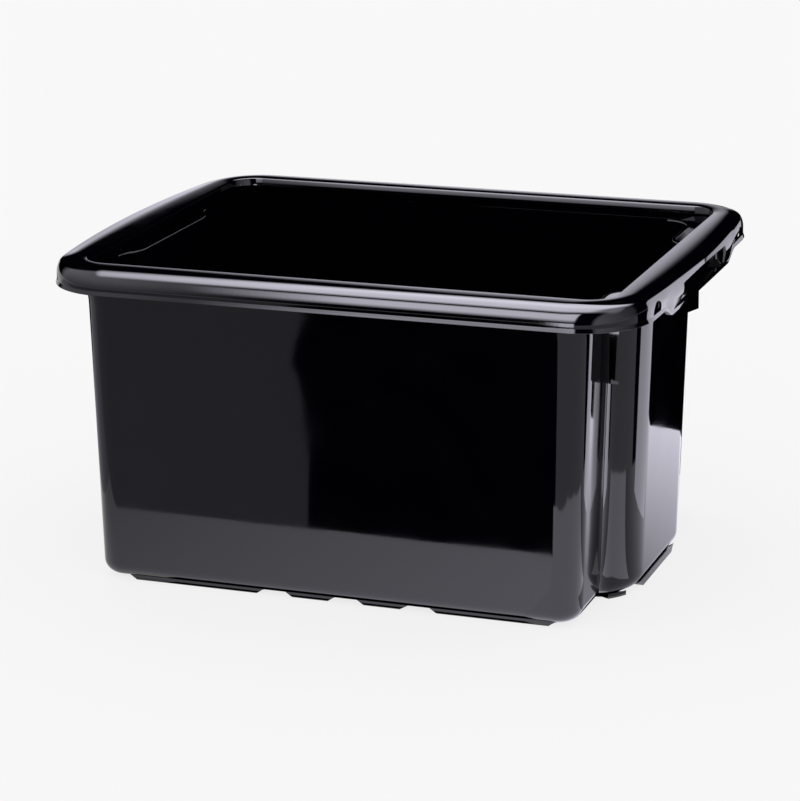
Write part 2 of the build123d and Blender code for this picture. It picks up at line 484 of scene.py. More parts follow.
def round_edges(mesh: BMesh, edges: list[BMEdge], radius: float, segments: int) -> None:
    """Round some edges of a bmesh."""
    bmesh.ops.bevel(
        mesh, geom=edges, offset=radius, offset_type="OFFSET", affect="EDGES",
        segments=segments, profile=0.5, material=-1, clamp_overlap=True,
    )


def to_rear(mesh: BMesh) -> BMesh:
    """A bmesh of the front, turned over to the rear."""
    bmesh.ops.scale(mesh, vec=(1.0, -1.0, 1.0), verts=mesh.verts[:])
    return mesh


def to_metres(mesh: BMesh) -> None:
    """Bring a finished bmesh from mm to metres, its faces outwards."""
    bmesh.ops.scale(mesh, vec=(MM, MM, MM), verts=mesh.verts[:])
    bmesh.ops.recalc_face_normals(mesh, faces=mesh.faces[:])


def put_up(name: str, mesh: BMesh, finish: bpy.types.Material | None = None) -> bpy.types.Object:
    """Make an object of the scene from a bmesh.

    Args:
        name: The object's name.
        mesh: Its bmesh in metres, which is freed.
        finish: Its material.

    Returns:
        The object, at the origin.
    """
    data = bpy.data.meshes.new(name)
    mesh.to_mesh(data)
    mesh.free()
    if finish:
        data.materials.append(finish)
    made = bpy.data.objects.new(name, data)
    bpy.context.scene.collection.objects.link(made)
    return made


@dataclass
class Workbench:
    """Turns finished bmeshes into named pieces; edges past the sharp angle are shaded sharp."""

    plastic: bpy.types.Material
    sharp: float = 35.0

    def piece(
        self, name: str, mesh: BMesh, nodes: Sequence[str],
        plastic: bpy.types.Material | None = None,
    ) -> bpy.types.Object:
        """Make a piece from a bmesh in mm and put it in the frame.

        Args:
            name: The piece's name.
            mesh: Its bmesh, which is freed.
            nodes: The CAD nodes that it stands for.
            plastic: Its finish, where it isn't the box's plain one.

        Returns:
            The piece's object.
        """
        to_metres(mesh)
        for face in mesh.faces:
            face.smooth = True
        made = put_up(name, mesh, plastic or self.plastic)
        made.data.set_sharp_from_angle(angle=radians(self.sharp))
        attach(made, "root")
        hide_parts(*nodes)
        LOG.info("%s: %d faces for %s", name, len(made.data.polygons), ", ".join(nodes))
        return made

    def cut(self, made: bpy.types.Object, tool: BMesh) -> None:
        """Cut a tool's shape out of a piece.

        Args:
            made: The piece.
            tool: The tool's bmesh in mm, which is freed.
        """
        to_metres(tool)
        cutter = put_up("cutter", tool)
        modifier = made.modifiers.new("cut", "BOOLEAN")
        modifier.operation = "DIFFERENCE"
        modifier.solver = "EXACT"
        modifier.object = cutter
        graph = bpy.context.evaluated_depsgraph_get()
        result = bpy.data.meshes.new_from_object(made.evaluated_get(graph))
        made.modifiers.clear()
        made.data = result
        result.set_sharp_from_angle(angle=radians(self.sharp))
        bpy.data.objects.remove(cutter)


@dataclass
class Tub:
    """The open tub: flat front and rear, waisted left end, bulged right end, rounded foot edge."""

    half_length: float = 224.5
    half_width: float = 168.5
    corner_radius: float = 25.0
    top: float = 257.0
    wall: float = 2.5
    floor_top: float = 5.0
    underside: float = 2.5
    draft: float = 1.0
    bottom_round: float = 12.0
    left_waist_x: float = 213.5
    left_waist_half: float = 58.0
    left_sweep: float = 26.0
    left_corner_y: float = 90.0
    right_corner_x: float = 202.0
    hollow_y: float = 101.5
    hollow_radius: float = 16.0
    bulge_half: float = 49.65
    bulge_radius: float = 55.0
    hollow_turn: float = 46.9
    sweep_turn: float = 37.96
    left_shift: float = 2.4
    right_lean: float = 1.08
    right_lean_level: float = 147.0
    shift_start: float = 60.0
    shift_end: float = 180.0
    shift_fade: float = 24.0
    levels: tuple[float, ...] = (40.0, 80.0, 120.0, 160.0, 200.0, 235.0, 246.0)
    side_steps: int = 36
    corner_steps: int = 28
    end_steps: int = 8
    sweep_steps: int = 12
    left_flank_steps: int = 6
    right_flank_steps: int = 4
    hollow_steps: int = 14
    bulge_steps: int = 20
    round_steps: int = 10
    nodes: tuple[str, ...] = (
        "base_panel", "front_wall", "rear_wall", "front_left_corner", "rear_left_corner",
        "front_right_corner", "rear_right_corner", "left_end_panel", "right_end_panel",
    )

    @property
    def right_corner(self) -> Span:
        """Centre of the outline's right rear corner."""
        return self.right_corner_x - self.corner_radius, self.half_width - self.corner_radius

    def outline(self) -> PlanCurve:
        """The tub's outer outline at the ledge, anticlockwise from the middle of the left end.

        Returns:
            The closed outline.
        """
        right_x, corner_y = self.right_corner
        pen = OutlinePen(-self.left_waist_x, 0.0)
        pen.run(-self.left_waist_x, -self.left_waist_half, self.end_steps)
        self.draw_left_sweep(pen)
        pen.run(-self.half_length, -corner_y, self.left_flank_steps)
        pen.arc(self.corner_radius - self.half_length, -corner_y, QUARTER, self.corner_steps)
        pen.run(right_x, -self.half_width, self.side_steps)
        pen.arc(right_x, -corner_y, QUARTER, self.corner_steps)
        self.draw_right_hollow(pen)
        pen.run(self.half_length, 0.0, self.end_steps)
        return pen.curve().mirrored(Mirror.SIDES).closed()

    def draw_left_sweep(self, pen: OutlinePen) -> None:
        """Draw the sweep from the left waist to the front left corner.

        Args:
            pen: The pen, at the end of the waist.
        """
        waist_x = -self.left_waist_x - self.left_sweep
        corner_x = self.left_sweep - self.half_length
        pen.arc(waist_x, -self.left_waist_half, -self.sweep_turn, self.sweep_steps)
        pen.arc(corner_x, -self.left_corner_y, self.sweep_turn, self.sweep_steps)

    def draw_right_hollow(self, pen: OutlinePen, skin: float = 0.0) -> None:
        """Draw the flank, hollow and shoulder between the front right corner and the bulge.

        Args:
            pen: The pen, at the end of the corner.
            skin: How far inside the outer face it draws.
        """
        hollow_x = self.right_corner_x + self.hollow_radius
        bulge_x = self.half_length - self.bulge_radius
        pen.run(self.right_corner_x - skin, -self.hollow_y, self.right_flank_steps)
        pen.arc(hollow_x, -self.hollow_y, -self.hollow_turn, self.hollow_steps)
        pen.arc(bulge_x, -self.bulge_half, self.hollow_turn, self.bulge_steps)

    def lean(self, height: float) -> float:
        """How far the draft brings the wall in at a height."""
        return (self.top - height) * tan(radians(self.draft))

    def settled(self, point: Vector, height: float) -> Vector:
        """Put an outline point at a height, with the set of the two ends there.

        Args:
            point: A point of the outline.
            height: Its height.

        Returns:
            The point in the frame.
        """
        reach = smooth_share(abs(point.x), self.shift_start, self.shift_end)
        reach *= min(1.0, (self.top - height) / self.shift_fade)
        right = (height - self.right_lean_level) * tan(radians(self.right_lean))
        shift = right if point.x > 0 else self.left_shift
        return Vector((point.x + shift * reach, point.y, height))

    def build(self, bench: Workbench) -> bpy.types.Object:
        """Sweep the shell up the inside and down the outside, and close its floor.

        Args:
            bench: Where the piece is made.

        Returns:
            The tub.
        """
        outline = self.outline()
        levels = [*self.levels, self.top]
        section = self._round(self.bottom_round - self.wall, self.floor_top, self.wall)[::-1]
        section += [(self.wall + self.lean(z), z) for z in levels]
        section += [(self.lean(z), z) for z in reversed(levels)]
        section += self._round(self.bottom_round, self.underside, 0.0)
        rings = [[self.settled(p, z) for p in outline.at(inset)] for inset, z in section]
        return bench.piece("tub_shell", swept(rings), self.nodes)

    def _round(self, radius: float, low: float, inset: float) -> list[Span]:
        """The rounding between wall and floor, from the wall down.

        Args:
            radius: Radius of the rounding.
            low: Height of the flat that it ends on.
            inset: Inset of the wall's face at the ledge.

        Returns:
            Inset and height of each ring.
        """
        start = low + radius
        base = inset + self.lean(start)
        turns = [radians(QUARTER * share) for share in (0.0, *shares(self.round_steps))]
        return [(base + radius * (1 - cos(t)), start - radius * sin(t)) for t in turns]


@dataclass(frozen=True)
class Brow:
    """Section of the rim's outer side: a curved face, and the round that turns it into the top."""

    start: float
    radius: float
    tilt: float
    edge_radius: float
    edge_tilt: float

    @property
    def top(self) -> float:
        """Height of the top of the face."""
        return self.start + self.radius * cos(radians(self.tilt))

    def inset(self, level: float) -> float:
        """How far the face has drawn in at a level."""
        rise = max(0.0, level - self.start) / self.radius
        return self.radius * (1 - sqrt(1 - rise ** 2))

    def edge(self, share: float) -> Vector:
        """A place on the round.

        Args:
            share: Zero at the face, one at the top.

        Returns:
            Its inset and its height.
        """
        start, end = radians(self.tilt), radians(self.edge_tilt)
        turn = start + (end - start) * share
        inset = self.inset(self.top) + self.edge_radius * (sin(start) - sin(turn))
        return Vector((inset, self.top + self.edge_radius * (cos(turn) - cos(start))))


@dataclass
class Rim:
    """The rolled rim: flared lip, round-shouldered top, fuller bowed ends with a hand grip each.

    The lip is given by inset and rise, the rings of the face and of its back by their
    share of the way from the lip to the top of the face.
    """

    half_length: float = 250.0
    half_width: float = 195.0
    corner_radius: float = 58.0
    inner_half_length: float = 222.0
    inner_half_width: float = 166.0
    inner_radius: float = 22.5
    bottom: float = 250.0
    lip_top: float = 253.4
    lip: tuple[Span, ...] = (
        (0.5, 0.0), (0.1, 0.06), (0.0, 0.3), (0.06, 0.5), (0.5, 1.85), (0.92, 3.2), (1.0, 3.4),
    )
    face_in: float = 1.0
    face_shares: tuple[float, ...] = (
        0.02, 0.04, 0.045, 0.08, 0.12, 0.17, 0.22, 0.3, 0.4, 0.5, 0.6, 0.68, 0.74, 0.755, 0.765,
        0.785, 0.805, 0.82, 0.835, 0.85, 0.862, 0.875, 0.9, 0.94, 0.97, 1.0,
    )
    back_shares: tuple[float, ...] = (0.9, 0.86, 0.8, 0.74, 0.6, 0.4, 0.22, 0.08, 0.04)
    soft: Brow = Brow(254.4, 15.5, 40.0, 15.5, 2.0)
    full: Brow = Brow(259.0, 16.0, 60.0, 2.0, 10.0)
    roll_steps: int = 12
    dome: float = 0.5
    dome_at: float = 0.4
    shoulder_ease: float = 0.5
    crown: float = 0.12
    crown_steps: int = 16
    top: float = 270.0
    foot: float = 257.0
    wall: float = 2.5
    bow_left: float = 9.0
    bow_right: float = 6.3
    bow_at_skirt: float = 0.5
    bow_level: float = 261.0
    inner_edge_round: float = 1.0
    inner_edge_turn: float = 78.0
    inner_edge_steps: int = 6
    inner_lean: float = 1.28
    inner_lean_level: float = 264.0
    inner_lean_band: float = 1.5
    hollow_in: float = 10.0
    hollow_round: float = 1.0
    grip_drop: float = 8.4
    grip_half: float = 111.0
    grip_flat_half: float = 86.0
    recess_half: float = 64.0
    recess_flare: float = 6.0
    recess_x: float = 245.0
    recess_low: float = 0.04
    recess_high: float = 0.76
    recess_arch: float = 0.1
    recess_toe: float = 4.0
    recess_toe_high: float = 0.22
    recess_side: float = 0.9
    recess_step: int = 28
    recess_columns: tuple[float, ...] = (-4.0, -2.2, -1.0, 0.0, 0.5, 1.5)
    window_y: float = 129.0
    window_radius: float = 9.5
    window_lift: float = 0.15
    window_out: float = 14.0
    window_depth: float = 40.0
    window_segments: int = 48
    side_steps: int = 24
    corner_steps: int = 32
    end_steps: int = 58
    weld: float = 1e-4
    nodes: tuple[str, ...] = (
        "front_rim", "rear_rim", "front_left_rim", "rear_left_rim", "front_right_rim",
        "rear_right_rim", "left_handle", "right_handle",
    )
    flush: PlanCurve = field(init=False)
    bowed: PlanCurve = field(init=False)
    inner: PlanCurve = field(init=False)
    end_place: list[int | None] = field(init=False)
    fullness: list[float] = field(init=False)

    def __post_init__(self) -> None:
        """Draw the outlines that the rings lie on, and number the columns of the two ends."""
        bows = (self.bow_at_skirt, self.bow_left, self.bow_right)
        self.flush, left, right = (self._outer(bow).whole() for bow in bows)
        ends = list(enumerate(right if point.x > 0 else left for point in self.flush.points))
        self.bowed = PlanCurve([e.points[k] for k, e in ends], [e.outward[k] for k, e in ends])
        self.fullness = [1 - max(0.0, -way.y) ** 2 for way in self.bowed.outward]
        corner_x, corner_y = self.inner_corner
        pen = OutlinePen(0.0, -self.inner_half_width)
        pen.run(corner_x, -self.inner_half_width, self.side_steps)
        pen.arc(corner_x, -corner_y, QUARTER, self.corner_steps)
        pen.run(self.inner_half_length, 0.0, self.end_steps, 0.0)
        self.inner = pen.curve().whole()
        quarter = len(self.flush.points) // 4
        first = quarter - self.end_steps
        half = [k - quarter for k in range(first, quarter + self.end_steps + 1)]
        lone = [None] * first + half + [None] * (2 * first - 1)
        self.end_place = (lone + half + [None] * first)[: 4 * quarter]

    @property
    def corner(self) -> Span:
        """Centre of the outer outline's right rear corner."""
        return self.half_length - self.corner_radius, self.half_width - self.corner_radius

    @property
    def inner_corner(self) -> Span:
        """Centre of the inner outline's right rear corner."""
        return self.inner_half_length - self.inner_radius, self.inner_half_width - self.inner_radius

    def _bow_back(self, bow: float) -> float:
        """How far behind the corners' centres a bowed end has its own."""
        return (self.corner[1] ** 2 - bow ** 2) / (2 * bow)

    def _outer(self, bow: float) -> PlanCurve:
        """A quarter of the rim's outer outline, from the middle of the front to the right end.

        Args:
            bow: How far the middle of each end stands out.

        Returns:
            The open outline.
        """
        corner_x, corner_y = self.corner
        back = self._bow_back(bow)
        share = degrees(atan2(corner_y, back))
        pen = OutlinePen(0.0, -self.half_width)
        pen.run(corner_x, -self.half_width, self.side_steps)
        pen.arc(corner_x, -corner_y, QUARTER - share, self.corner_steps)
        pen.arc(corner_x - back, 0.0, share, self.end_steps)
        return pen.curve()

    def _end(self, number: int) -> Span:
        """The end that a point of a ring belongs to, as a sign, and that end's bow."""
        return (1.0, self.bow_right) if self.flush.points[number].x > 0 else (-1.0, self.bow_left)

    def _end_x(self, bow: float, inset: float, y: float) -> float:
        """Reach of a bowed end.

        Args:
            bow: How far its middle stands out.
            inset: How far inside the lip's edge.
            y: How far from its middle.

        Returns:
            The reach along the length.
        """
        back = self._bow_back(bow)
        radius = sqrt(self.corner[1] ** 2 + back ** 2) + self.corner_radius - inset
        return self.corner[0] - back + sqrt(radius ** 2 - y ** 2)

    def _drop(self, y: float) -> float:
        """How far the skirt's lower edge drops for the hand grip."""
        return self.grip_drop * smooth_share(abs(y), self.grip_half, self.grip_flat_half)

    def _grip_y(self, step: int, share: float) -> float:
        """Where a column of the grip stands, so that columns follow the recess's edges.

        Args:
            step: The column's number from the middle of the end.
            share: Zero at the lip, one at the top of the face.

        Returns:
            The column's distance from the middle.
        """
        edge = self.recess_half + self.recess_flare * (1 - share)
        first = self.recess_step - self.recess_columns.index(0.0)
        knots = [(first + k, edge + past) for k, past in enumerate(self.recess_columns)]
        knots = [(0, 0.0), *knots, (self.end_steps, self.corner[1])]
        place = abs(step)
        (k0, y0), (k1, y1) = next(pair for pair in zip(knots, knots[1:]) if place <= pair[1][0])
        y = y0 + (y1 - y0) * (place - k0) / (k1 - k0)
        return y if step > 0 else -y

    def _recess(self, step: int, share: float) -> float | None:
        """How far out the grip's recess lets a point be.

        Args:
            step: The point's column from the middle of the end.
            share: Zero at the lip, one at the top of the face.

        Returns:
            The limit along the length, or None outside the recess.
        """
        arch = self.recess_high + self.recess_arch * (1 - (step / self.recess_step) ** 2)
        if abs(step) >= self.recess_step or not self.recess_low < share < arch:
            return None
        floor = self.recess_x + self.recess_toe * max(0.0, 1 - share / self.recess_toe_high)
        return floor + (self.recess_side if abs(step) == self.recess_step - 1 else 0.0)

    def _face(self, share: float, depth: float = 0.0) -> Ring:
        """A ring of the skirt's face.

        Args:
            share: Zero at the lip, one at the top of the face.
            depth: How far it lies behind the outer side.

        Returns:
            The ring's points.
        """
        ring = []
        for number, full in enumerate(self.fullness):
            top = self.soft.top + (self.full.top - self.soft.top) * full
            level = self.lip_top + (top - self.lip_top) * share
            soft = self.soft.inset(level)
            inset = self.face_in + soft + (self.full.inset(level) - soft) * full
            ring.append(self._skirt_point(number, level, inset, share, depth))
        return ring

    def _lip(self, inset: float, rise: float, depth: float = 0.0) -> Ring:
        """A ring of the lip along the skirt's lower edge."""
        places, level = range(len(self.fullness)), self.bottom + rise
        return [self._skirt_point(number, level, inset, 0.0, depth) for number in places]

    def _skirt_point(
        self, number: int, level: float, inset: float, share: float = 1.0, depth: float = 0.0
    ) -> Vector:
        """A point of the skirt, or one above it.

        Args:
            number: The point's place in the ring.
            level: Its height away from the grips.
            inset: How far the outer side lies inside the lip's edge there.
            share: Zero at the lip, one from the top of the face on.
            depth: How far it lies behind the outer side.

        Returns:
            The point.
        """
        inset += depth
        lift = min(1.0, max(0.0, (level - self.bottom) / (self.bow_level - self.bottom)))
        step = self.end_place[number]
        if step is None:
            low = self.flush.points[number] - self.flush.outward[number] * inset
            high = self.bowed.points[number] - self.bowed.outward[number] * inset
            point = low.lerp(high, lift)
            return Vector((point.x, point.y, level))
        side, bow = self._end(number)
        y = self._grip_y(step, share) * side
        low_x, high_x = self._end_x(self.bow_at_skirt, inset, y), self._end_x(bow, inset, y)
        x = low_x * (1 - lift) + high_x * lift
        limit = self._recess(step, share)
        if limit is not None:
            x = min(x, limit - depth)
        return Vector((side * x, y, level - self._drop(y) * (1 - share)))

    def _band(self, inset: float, z: float) -> Ring:
        """A ring on the inner face."""
        return [Vector((p.x, p.y, z)) for p in self.inner.at(inset)]

    def _crown(self, outer: Ring, inner: Ring, share: float) -> Ring:
        """A ring on the crowned top.

        Args:
            outer: The ring at the top of the outer edge.
            inner: The ring at the start of the inner edge.
            share: Zero at the outer ring, one at the inner.

        Returns:
            The ring's points.
        """
        ease = self.shoulder_ease
        out = max(0.0, 1 - share - self.dome_at) / (1 - self.dome_at)
        climb = self.dome * (1 - (max(0.0, share - 1 + self.dome_at) / self.dome_at) ** 2)
        fall = out ** 2 / (2 * ease) if out < ease else out - ease / 2
        fall /= 1 - ease / 2
        ring = []
        for full, a, b in zip(self.fullness, outer, inner):
            point = a.lerp(b, share)
            soft = point.z + self.crown * (1 - (2 * share - 1) ** 2)
            whole = b.z + climb + (a.z - b.z - self.dome) * fall
            point.z = soft + (whole - soft) * full
            ring.append(point)
        return ring

    def _inside(self, outer: Ring) -> list[Ring]:
        """The rings of the top, the inner edge and the inner face.

        Args:
            outer: The ring at the top of the outer edge.

        Returns:
            The rings, down to the foot of the inner face.
        """
        low, bend = outer[0].z, self.inner_edge_round
        start, end = radians(self.soft.edge_tilt), radians(self.inner_edge_turn)
        drop = low - bend * cos(start)
        inner = self._band(-bend * (1 - sin(start)), low)
        rings = [self._crown(outer, inner, share) for share in shares(self.crown_steps)]
        for share in shares(self.inner_edge_steps):
            turn = start + (end - start) * share
            rings.append(self._band(-bend * (1 - sin(turn)), drop + bend * cos(turn)))
        level = self.inner_lean_level
        lean = [(self.inner_lean / 2, (drop + level) / 2), (self.inner_lean, level)]
        lean += [(self.inner_lean, level - self.inner_lean_band), (0.0, self.foot)]
        return rings + [self._band(inset, z) for inset, z in lean]

    def rings(self) -> list[Ring]:
        """The rim's rings, from the skirt's inner foot round the outside and back underneath.

        Returns:
            The rings, the last on the first.
        """
        rings = [self._lip(self.face_in, 0.0, self.wall)]
        rings += [self._lip(inset, rise) for inset, rise in self.lip]
        rings += [self._face(share) for share in self.face_shares]
        for share in shares(self.roll_steps):
            soft, whole = self.soft.edge(share), self.full.edge(share)
            edge = enumerate(soft.lerp(whole, full) for full in self.fullness)
            rings.append([self._skirt_point(k, p.y, self.face_in + p.x) for k, p in edge])
        rings += self._inside(rings[-1])
        under, bend = self.top - 2 * self.wall, self.hollow_round
        rings.append(self._band(-self.wall, self.foot))
        rings.append(self._band(-self.wall, under - bend))
        rings.append(self._band(-self.wall - bend, under))
        places = range(len(self.fullness))
        rings.append([self._skirt_point(k, under, self.hollow_in) for k in places])
        rings += [self._face(share, self.wall) for share in self.back_shares]
        return rings + rings[:1]

    def build(self, bench: Workbench) -> bpy.types.Object:
        """Sweep the rim and cut its windows.

        Args:
            bench: Where the piece is made.

        Returns:
            The rim.
        """
        made = bench.piece("rolled_rim", swept(self.rings(), self.weld), self.nodes)
        for end in (-1, 1):
            for side in (-1, 1):
                bench.cut(made, self._window(end, side))
        return made

    def _window(self, end: int, side: int) -> BMesh:
        """The tool for one arched window above the lip.

        Args:
            end: Which end of the box, as a sign.
            side: Front or rear, as a sign.

        Returns:
            The tool's bmesh.
        """
        low = self.lip_top + self.window_lift
        tool = bmesh.new()
        bmesh.ops.create_cone(
            tool, cap_ends=True, segments=self.window_segments, depth=self.window_depth,
            radius1=self.window_radius, radius2=self.window_radius,
            matrix=Matrix.Rotation(radians(QUARTER), 4, "Y"),
        )
        middle = (end * (self.half_length + self.window_out), side * self.window_y, low)
        bmesh.ops.translate(tool, vec=middle, verts=tool.verts[:])
        cut = bmesh.ops.bisect_plane(
            tool, geom=tool.verts[:] + tool.edges[:] + tool.faces[:],
            plane_co=(0.0, 0.0, low), plane_no=UP, clear_inner=True,
        )
        bmesh.ops.edgeloop_fill(tool, edges=picked(cut["geom_cut"], BMEdge))
        return tool


@dataclass
class Ledges:
    """The three shelves that the next box stands on, a painted highlight in grey along their inner
    edges.
    """

    tub: Tub
    rim: Rim
    thickness: float = 2.5
    bed: float = 1.4
    proud: float = 0.12
    edge_round: float = 1.5
    edge_segments: int = 4
    corner_steps: int = 16
    highlight_clear: float = 0.1

    def build(self, bench: Workbench) -> list[bpy.types.Object]:
        """Make the shelves.

        Args:
            bench: Where the pieces are made.

        Returns:
            The three shelves.
        """
        # Painted highlight: the shelves' rounded inner edges, up to just below the top, get the
        # lighter grey band.
        low, high = (self.tub.top - self.edge_round) * MM, (self.tub.top - self.highlight_clear) * MM
        painted_highlight = GlossPlastic("painted_highlight_black_plastic", highlight_low=low, highlight_high=high).material()
        plates = {
            "left": self._plate(*self._left()),
            "front_right": self._plate(*self._right()),
            "rear_right": to_rear(self._plate(*self._right())),
        }
        return [
            bench.piece(f"{place}_shelf", plate, [f"{place}_ledge"], painted_highlight)
            for place, plate in plates.items()
        ]

    def _left(self) -> tuple[PlanCurve, list[Span]]:
        """Inner edge of the left shelf, and the points that close it inside the rim.

        Returns:
            The edge's curve and the closing points.
        """
        tub, corner_y = self.tub, self.tub.left_corner_y
        waist_x, corner_x = -tub.left_waist_x - tub.left_sweep, tub.left_sweep - tub.half_length
        pen = OutlinePen(tub.wall - tub.half_length, corner_y, (-1.0, 0.0))
        pen.arc(corner_x, corner_y, tub.sweep_turn, tub.sweep_steps)
        pen.arc(waist_x, tub.left_waist_half, -tub.sweep_turn, tub.sweep_steps)
        pen.run(tub.wall - tub.left_waist_x, -tub.left_waist_half, tub.end_steps)
        tub.draw_left_sweep(pen)
        far = -self.rim.inner_half_length - self.bed
        return pen.curve(), [(far, -corner_y), (far, corner_y)]

    def _right(self) -> tuple[PlanCurve, list[Span]]:
        """Inner edge of the front right shelf, and the points that close it inside the rim.

        Returns:
            The edge's curve and the closing points.
        """
        tub, rim = self.tub, self.rim
        corner_x, corner_y = tub.right_corner
        pen = OutlinePen(corner_x, tub.wall - tub.half_width, (0.0, -1.0))
        pen.arc(corner_x, -corner_y, QUARTER, tub.corner_steps)
        tub.draw_right_hollow(pen, tub.wall)
        far_x, far_y = rim.inner_corner
        radius = rim.inner_radius + self.bed
        turns = [radians(-QUARTER * share) for share in (0.0, *shares(self.corner_steps))]
        close = [(rim.inner_half_length + self.bed, -tub.bulge_half)]
        close += [(far_x + radius * cos(t), -far_y + radius * sin(t)) for t in turns]
        close.append((corner_x, -rim.inner_half_width - self.bed))
        return pen.curve(), close

    def _plate(self, curve: PlanCurve, close: list[Span]) -> BMesh:
        """Make a shelf from its plan and round its inner edge.

        Args:
            curve: The inner edge's curve.
            close: The closing points.

        Returns:
            The shelf's bmesh.
        """
        top = self.tub.top
        plate = bmesh.new()
        inside = plate.verts.layers.int.new("inside")
        edge = [Vector((point.x, point.y, top)) for point in curve.at(self.proud)]
        loop = plan_face(plate, edge + [Vector((x, y, top)) for x, y in close])
        for vert in loop[:len(edge)]:
            room_x = self.rim.inner_half_length - abs(vert.co.x)
            room_y = self.rim.inner_half_width - abs(vert.co.y)
            vert[inside] = int(min(room_x, room_y) > self.edge_round)
        raise_faces(plate, -self.thickness)
        middle = top - self.thickness / 2
        edges = [e for e in plate.edges if all(v[inside] and v.co.z > middle for v in e.verts)]
        round_edges(plate, edges, self.edge_round, self.edge_segments)
        return plate


@dataclass
class NestStops:
    """The two upright stops on the set-back corners beside the right end's bulge."""

    tub: Tub
    low: float = 192.0
    high: float = 254.5
    face_y: float = 122.0
    reach_x: float = 217.0
    inner_x: float = 209.5
    inner_y: float = 98.0
    bed_radius: float = 17.6
    bed_steps: int = 10
    edge_round: float = 0.7
    edge_segments: int = 3
    edge_angle: float = 25.0

    def build(self, bench: Workbench) -> list[bpy.types.Object]:
        """Make the two stops.

        Args:
            bench: Where the pieces are made.

        Returns:
            The front and the rear stop.
        """
        blocks = {"front": self._block(), "rear": to_rear(self._block())}
        return [
            bench.piece(f"{side}_stop", block, [f"{side}_nest_stop"])
            for side, block in blocks.items()
        ]

    def _block(self) -> BMesh:
        """Raise the front stop from its plan and ease its edges.

        Returns:
            The stop's bmesh.
        """
        x, y = self.tub.right_corner_x + self.tub.hollow_radius, -self.tub.hollow_y
        start = degrees(atan2(-self.inner_y - y, self.inner_x - x))
        pen = OutlinePen(x - self.bed_radius, -self.face_y)
        pen.run(self.reach_x, -self.face_y, 1, 0.0)
        pen.run(self.inner_x, -self.inner_y, 1, 0.0)
        pen.arc(x, y, 2 * QUARTER - start, self.bed_steps)
        block = bmesh.new()
        plan_face(block, [Vector((point.x, point.y, self.low)) for point in pen.curve().points])
        raise_faces(block, self.high - self.low)
        sharp = radians(self.edge_angle)
        eased = [e for e in block.edges if len(e.link_faces) == 2 and e.calc_face_angle() > sharp]
        round_edges(block, eased, self.edge_round, self.edge_segments)
        return block


@dataclass
class FootPads:
    """The low pads under the base: their solids, with the lower edges drawn in."""

    sides: tuple[str, ...] = ("front", "rear", "left", "right")
    end_slope: float = 6.0
    side_slope: float = 1.2
    flat: float = 0.05
    weld: float = 1e-3
    flat_angle: float = 0.5

    def build(self, bench: Workbench) -> list[bpy.types.Object]:
        """Make the pads of each side.

        Args:
            bench: Where the pieces are made.

        Returns:
            The pads, one piece a side.
        """
        return [
            bench.piece(f"{side}_pads", self._pads(side), [f"{side}_feet"]) for side in self.sides
        ]

    def _pads(self, side: str) -> BMesh:
        """The pads of one side.

        Args:
            side: The side's name.

        Returns:
            Their bmesh.
        """
        pads = bmesh.new()
        pads.from_mesh(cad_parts[f"{side}_feet"].data)
        bmesh.ops.scale(pads, vec=(1 / MM, 1 / MM, 1 / MM), verts=pads.verts[:])
        bmesh.ops.remove_doubles(pads, verts=pads.verts[:], dist=self.weld)
        bmesh.ops.dissolve_limit(
            pads, angle_limit=radians(self.flat_angle), verts=pads.verts[:], edges=pads.edges[:],
            delimit=set(),
        )
        left = set(pads.verts)
        while left:
            pad, found = set(), [left.pop()]
            while found:
                vert = found.pop()
                pad.add(vert)
                near = [edge.other_vert(vert) for edge in vert.link_edges]
                found += [other for other in near if other not in pad]
            left -= pad
            self._slope(pads, list(pad))
        return pads

    def _slope(self, pads: BMesh, pad: list[BMVert]) -> None:
        """Draw in the lower edges of one pad.

        Args:
            pads: The bmesh that holds it.
            pad: Its vertices.
        """
        edges = {edge for vert in pad for edge in vert.link_edges}
        longest = max(edges, key=lambda edge: edge.calc_length())
        way = (longest.verts[1].co - longest.verts[0].co).normalized()
        across = Vector((-way.y, way.x, 0.0))
        middle = sum((vert.co for vert in pad), Vector()) / len(pad)
        low = min(vert.co.z for vert in pad) + self.flat
        for axis, slope in ((way, self.end_slope), (across, self.side_slope)):
            reach = max(abs((vert.co - middle).dot(axis)) for vert in pad) - self.flat
            for vert in pad:
                along = (vert.co - middle).dot(axis)
                if vert.co.z < low and abs(along) > reach:
                    inward = axis * (-slope if along > 0 else slope)
                    bmesh.ops.translate(pads, vec=inward, verts=[vert])


